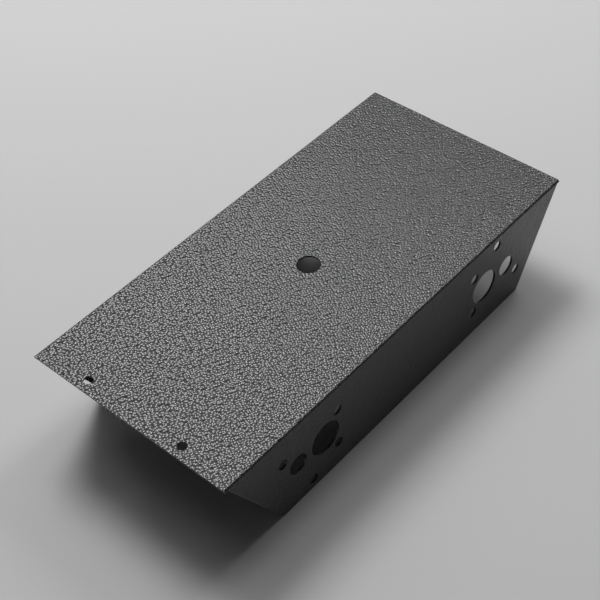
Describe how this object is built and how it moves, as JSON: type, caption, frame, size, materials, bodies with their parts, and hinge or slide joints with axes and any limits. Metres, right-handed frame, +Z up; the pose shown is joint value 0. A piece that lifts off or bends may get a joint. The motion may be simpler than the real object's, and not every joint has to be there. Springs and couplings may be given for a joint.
{
  "type": "sheet metal chassis",
  "caption": "Open chassis pan folded from one steel sheet: flat rectangular web with two side flanges, slanted at both ends and punched for gear motors.",
  "frame": {"origin": "middle of the footprint, on the surface the flanges' lower edges stand on", "axes": "+X along the length, away from the web end with two small screw holes; +Y across the width; +Z up, out of the web's top face"},
  "size_m": [0.185, 0.09, 0.04],
  "materials": {
    "coated_steel": "semi-gloss hammer-texture powder coat, near black"
  },
  "bodies": {
    "root": {"chassis": "coated_steel"}
  },
  "joints": []
}
